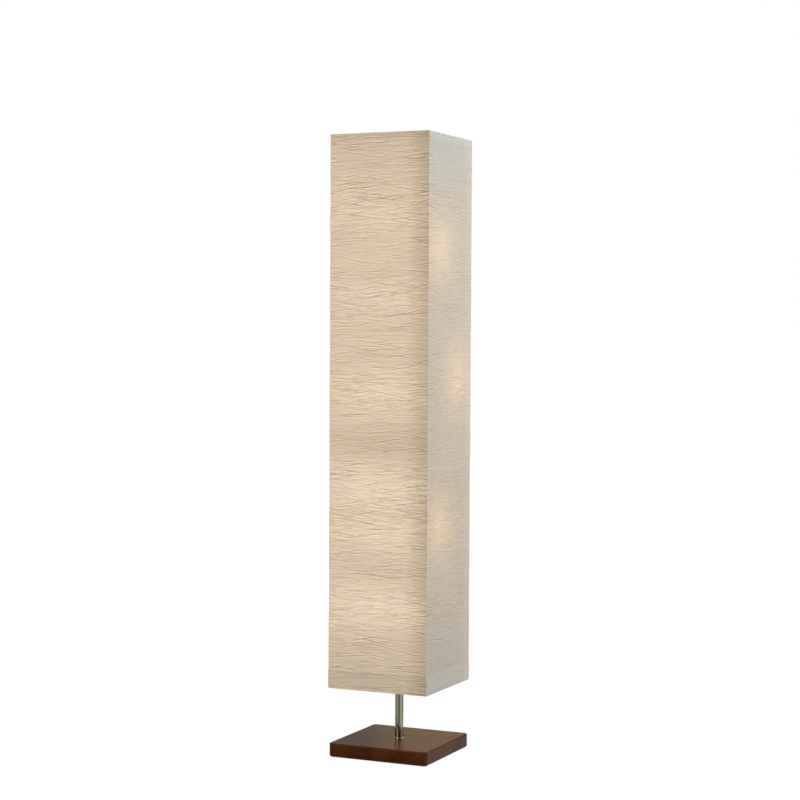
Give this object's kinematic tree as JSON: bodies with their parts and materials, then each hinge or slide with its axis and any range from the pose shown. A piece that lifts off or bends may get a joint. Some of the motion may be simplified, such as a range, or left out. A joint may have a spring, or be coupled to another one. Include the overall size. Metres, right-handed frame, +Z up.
{
  "type": "column floor lamp",
  "caption": "Tall square column floor lamp: a crinkled paper sleeve on a wire frame, hung on a slim steel pole over a square wooden base.",
  "frame": {"origin": "middle of the footprint, on the floor", "axes": "+Z up along the pole, -Y the front, +X to the right seen from the front"},
  "size_m": [0.255, 0.255, 1.473],
  "materials": {
    "lacquered_wood": "dark brown satin lacquer",
    "felt": "pressed felt",
    "black_steel": "black paint",
    "zinc_steel": "zinc plated",
    "brushed_nickel": "brushed nickel",
    "black_nylon": "moulded nylon",
    "rubber": "black rubber",
    "terminal_resin": "moulded",
    "brass": "plain brass",
    "black_phenolic": "moulded",
    "lead_sheath": "flexible sheath",
    "frosted_glass": "frosted, lit from inside",
    "bulb_cap_metal": "rolled",
    "bulb_tip_solder": "dull",
    "crinkled_paper": "crinkled, translucent",
    "frame_wire": "white powder coat",
    "white_nylon": "moulded nylon"
  },
  "bodies": {
    "stand": {"base_board": "lacquered_wood", "base_felt": "felt", "ballast_plate": "black_steel", "ballast_screws": "zinc_steel", "base_washer": "zinc_steel", "base_nut": "zinc_steel", "base_nipple": "zinc_steel", "pole_inserts": "zinc_steel", "joining_nipples": "zinc_steel", "top_nipple": "zinc_steel", "holder_nipples": "zinc_steel", "holder_nuts": "zinc_steel", "bracket_lower": "zinc_steel", "bracket_middle": "zinc_steel", "bracket_upper": "zinc_steel", "pole_seat_ring": "brushed_nickel", "pole_lower": "brushed_nickel", "pole_middle": "brushed_nickel", "pole_upper": "brushed_nickel", "pole_top": "brushed_nickel", "shade_seat_washer": "brushed_nickel", "cord_inlet_bush": "black_nylon", "lead_grommets": "rubber", "terminal_block": "terminal_resin", "terminal_screws": "brass", "holder_sleeves": "brass", "holder_contacts": "brass", "holder_rivets": "brass", "holder_cap_lower": "black_phenolic", "holder_cap_middle": "black_phenolic", "holder_cap_upper": "black_phenolic", "holder_shell_lower": "black_phenolic", "holder_shell_middle": "black_phenolic", "holder_shell_upper": "black_phenolic", "lead_lower": "lead_sheath", "lead_middle": "lead_sheath", "lead_upper": "lead_sheath"},
    "shade": {"paper_sleeve": "crinkled_paper", "top_ring": "frame_wire", "bottom_ring": "frame_wire", "rod_sockets": "frame_wire", "corner_rods": "frame_wire", "shade_hub": "frame_wire", "hub_arms": "frame_wire", "guide_ring": "frame_wire", "guide_arms": "frame_wire", "guide_bush": "white_nylon", "finial_washer": "brushed_nickel"},
    "finial_insert": {"finial_insert": "brass"},
    "finial_knob": {"finial_knob": "brushed_nickel"},
    "bulb_lower_tip": {"bulb_tip_lower": "bulb_tip_solder"},
    "bulb_lower": {"bulb_glass_lower": "frosted_glass", "bulb_cap_lower": "bulb_cap_metal"},
    "bulb_middle_tip": {"bulb_tip_middle": "bulb_tip_solder"},
    "bulb_middle": {"bulb_glass_middle": "frosted_glass", "bulb_cap_middle": "bulb_cap_metal"},
    "bulb_upper_tip": {"bulb_tip_upper": "bulb_tip_solder"},
    "bulb_upper": {"bulb_glass_upper": "frosted_glass", "bulb_cap_upper": "bulb_cap_metal"}
  },
  "joints": [
    {"name": "shade_swivel", "type": "hinge", "parent": "stand", "child": "shade", "pos_m": [0, 0, 1.431], "axis": [0, 0, 1], "continuous": true},
    {"name": "finial_lift", "type": "slide", "parent": "stand", "child": "finial_insert", "axis": [0, 0, 1], "range_m": [0, 0.01101]},
    {"name": "finial_turn", "type": "hinge", "parent": "finial_insert", "child": "finial_knob", "pos_m": [0, 0, 1.44], "axis": [0, 0, 1], "range_deg": [0, 3960]},
    {"name": "bulb_lower_lift", "type": "slide", "parent": "stand", "child": "bulb_lower_tip", "axis": [0, 0, 1], "range_m": [0, 0.0109]},
    {"name": "bulb_lower_turn", "type": "hinge", "parent": "bulb_lower_tip", "child": "bulb_lower", "pos_m": [0, -0.05, 0.517], "axis": [0, 0, 1], "range_deg": [0, 1080]},
    {"name": "bulb_middle_lift", "type": "slide", "parent": "stand", "child": "bulb_middle_tip", "axis": [0, 0, 1], "range_m": [0, 0.0109]},
    {"name": "bulb_middle_turn", "type": "hinge", "parent": "bulb_middle_tip", "child": "bulb_middle", "pos_m": [0, 0.05, 0.865], "axis": [0, 0, 1], "range_deg": [0, 1080]},
    {"name": "bulb_upper_lift", "type": "slide", "parent": "stand", "child": "bulb_upper_tip", "axis": [0, 0, 1], "range_m": [0, 0.0109]},
    {"name": "bulb_upper_turn", "type": "hinge", "parent": "bulb_upper_tip", "child": "bulb_upper", "pos_m": [0, -0.05, 1.165], "axis": [0, 0, 1], "range_deg": [0, 1080]}
  ],
  "couplings": [
    {"joint": "finial_lift", "follows": "finial_turn", "m_per_rad": 0.00015915},
    {"joint": "bulb_lower_lift", "follows": "bulb_lower_turn", "m_per_rad": 0.00057773},
    {"joint": "bulb_middle_lift", "follows": "bulb_middle_turn", "m_per_rad": 0.00057773},
    {"joint": "bulb_upper_lift", "follows": "bulb_upper_turn", "m_per_rad": 0.00057773}
  ]
}
